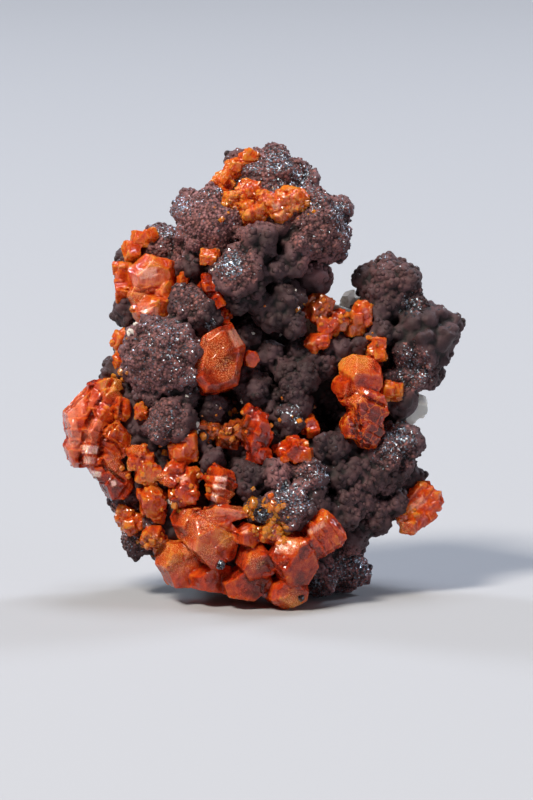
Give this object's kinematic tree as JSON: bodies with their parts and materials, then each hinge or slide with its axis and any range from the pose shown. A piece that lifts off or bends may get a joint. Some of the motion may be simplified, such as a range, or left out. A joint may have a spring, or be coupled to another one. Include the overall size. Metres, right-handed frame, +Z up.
{
  "type": "mineral specimen",
  "caption": "Durangite crystals, orange to deep red, on knobbly dark hematite and pale host rock; a hand specimen that stands on a small flat foot.",
  "frame": {"origin": "on the flat foot that the specimen stands on, below its middle", "axes": "+Z up, +X to the right of the crystal-covered face, which looks along -Y"},
  "size_m": [0.0345, 0.0215, 0.0386],
  "materials": {
    "hematite": "dark purple-brown, granular, with silvery glints",
    "host_rock": "pale, broken, slightly translucent",
    "durangite": "translucent orange to deep red, glassy and pitted"
  },
  "bodies": {
    "root": {"hematite": "hematite", "host_rock": "host_rock", "durangite_rim_crust": "durangite", "durangite_crown": "durangite", "durangite_under_lobe": "durangite", "durangite_left_rim": "durangite", "durangite_left_edge_upper": "durangite", "durangite_left_block": "durangite", "durangite_left_block_chip": "durangite", "durangite_left_edge_lower": "durangite", "durangite_inner_dark": "durangite", "durangite_inner_brown": "durangite", "durangite_hexagonal": "durangite", "durangite_left_fan": "durangite", "durangite_left_grain": "durangite", "durangite_two_lobed": "durangite", "durangite_lower_left_upright": "durangite", "durangite_lower_left_edge": "durangite", "durangite_cubic": "durangite", "durangite_left_trio": "durangite", "durangite_shadow": "durangite", "durangite_tall": "durangite", "durangite_dome": "durangite", "durangite_grain": "durangite", "durangite_notch_grain": "durangite", "durangite_notch": "durangite", "durangite_notch_right": "durangite", "durangite_right_grain": "durangite", "durangite_right_tall": "durangite", "durangite_right_plate": "durangite", "durangite_base": "durangite", "durangite_lower_left_brown": "durangite", "durangite_back_upper": "durangite", "durangite_back_left": "durangite", "durangite_back_lower": "durangite", "durangite_tabular": "durangite", "durangite_corner_plate": "durangite"}
  },
  "joints": []
}
